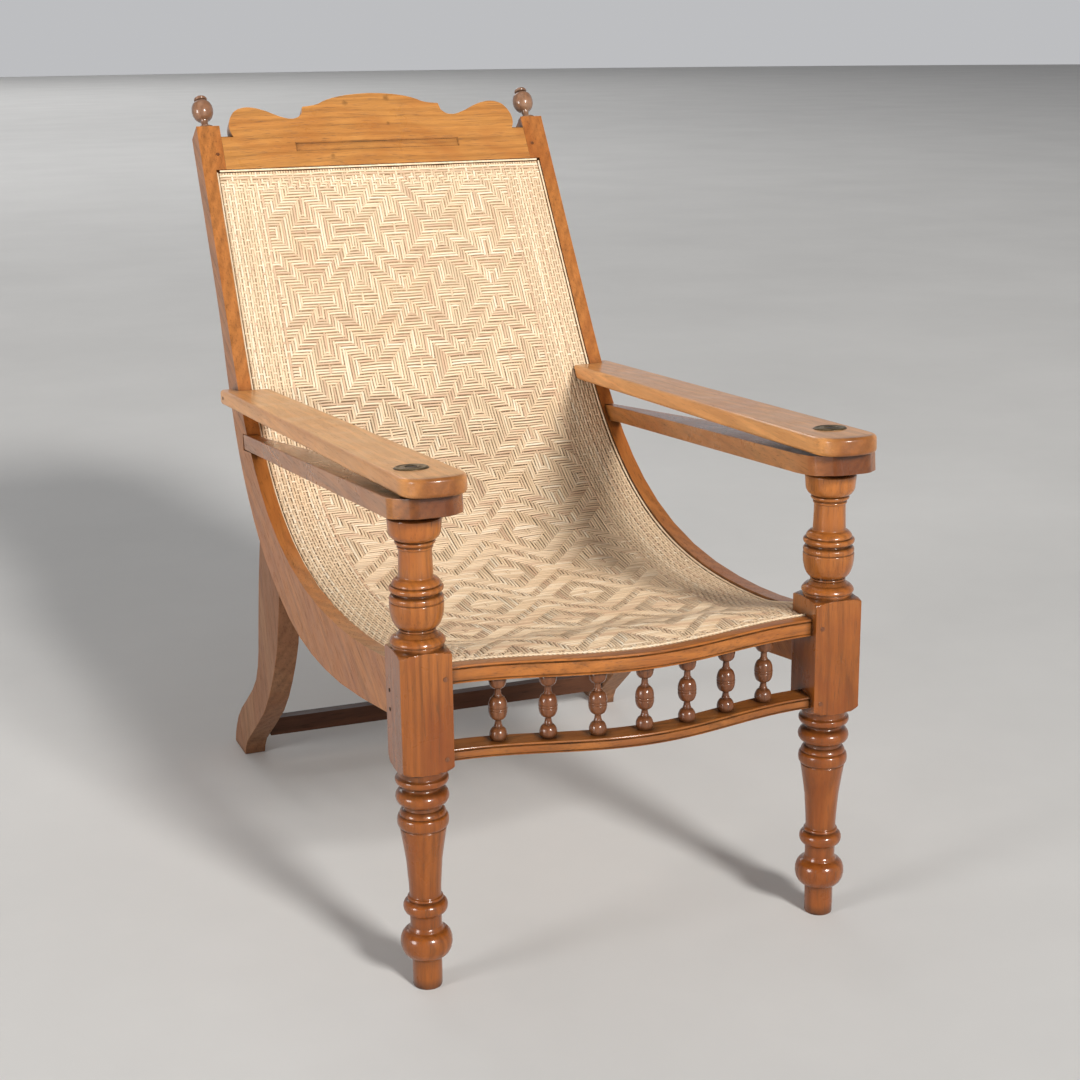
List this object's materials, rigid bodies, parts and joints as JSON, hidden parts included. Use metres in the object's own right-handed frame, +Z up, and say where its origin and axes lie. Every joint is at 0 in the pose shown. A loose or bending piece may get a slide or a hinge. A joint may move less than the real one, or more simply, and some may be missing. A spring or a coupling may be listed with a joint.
{
  "type": "planters chair",
  "caption": "Reclining planters chair with a caned sling seat, turned front legs, fixed arms and swing-out leg rests.",
  "frame": {"origin": "on the floor, under the middle of the chair's bounding box", "axes": "+Z up, +Y from the front of the seat towards the reclined back, +X towards the right of someone who looks at the chair from the front"},
  "size_m": [0.6344, 1.1974, 1.0026],
  "materials": {
    "teak": "waxed satin",
    "arm_teak": "worn semi-gloss",
    "dark_teak": "dark polish",
    "cane": "woven cane",
    "brass": "dull aged brass",
    "iron": "dark iron"
  },
  "bodies": {
    "frame": {"arm_left": "arm_teak", "arm_nail_left": "iron", "arm_nail_right": "iron", "arm_right": "arm_teak", "block_nail_lower_left": "iron", "block_nail_lower_right": "iron", "block_nail_upper_left": "iron", "block_nail_upper_right": "iron", "cane_edge_front": "cane", "cane_edge_left": "cane", "cane_edge_right": "cane", "cane_edge_top": "cane", "cane_seat": "cane", "crest_peg_left": "dark_teak", "crest_peg_right": "dark_teak", "crest_rail": "teak", "finial_left": "dark_teak", "finial_right": "dark_teak", "front_lower_rail": "teak", "front_peg_lower_left": "dark_teak", "front_peg_lower_right": "dark_teak", "front_peg_upper_left": "dark_teak", "front_peg_upper_right": "dark_teak", "front_post_left": "teak", "front_post_right": "teak", "front_seat_rail": "teak", "lower_washer_left": "iron", "lower_washer_right": "iron", "pivot_bolt_left": "iron", "pivot_bolt_right": "iron", "pivot_plate_left": "brass", "pivot_plate_right": "brass", "rear_leg_left": "teak", "rear_leg_right": "teak", "rear_stretcher": "teak", "side_rail_left": "teak", "side_rail_right": "teak", "spindle_1": "dark_teak", "spindle_2": "dark_teak", "spindle_3": "dark_teak", "spindle_4": "dark_teak", "spindle_5": "dark_teak", "spindle_6": "dark_teak", "spindle_7": "dark_teak", "upper_washer_left": "iron", "upper_washer_right": "iron"},
    "leg_rest_right": {"leg_rest_right": "arm_teak"},
    "leg_rest_left": {"leg_rest_left": "arm_teak"}
  },
  "joints": [
    {"name": "leg_rest_right_swing", "type": "hinge", "parent": "frame", "child": "leg_rest_right", "pos_m": [0.264, -0.52121, 0.58634], "axis": [0, -0.1123, -0.9937], "range_deg": [0, 180]},
    {"name": "leg_rest_left_swing", "type": "hinge", "parent": "frame", "child": "leg_rest_left", "pos_m": [-0.264, -0.52121, 0.58634], "axis": [0, 0.1123, 0.9937], "range_deg": [0, 180]}
  ]
}
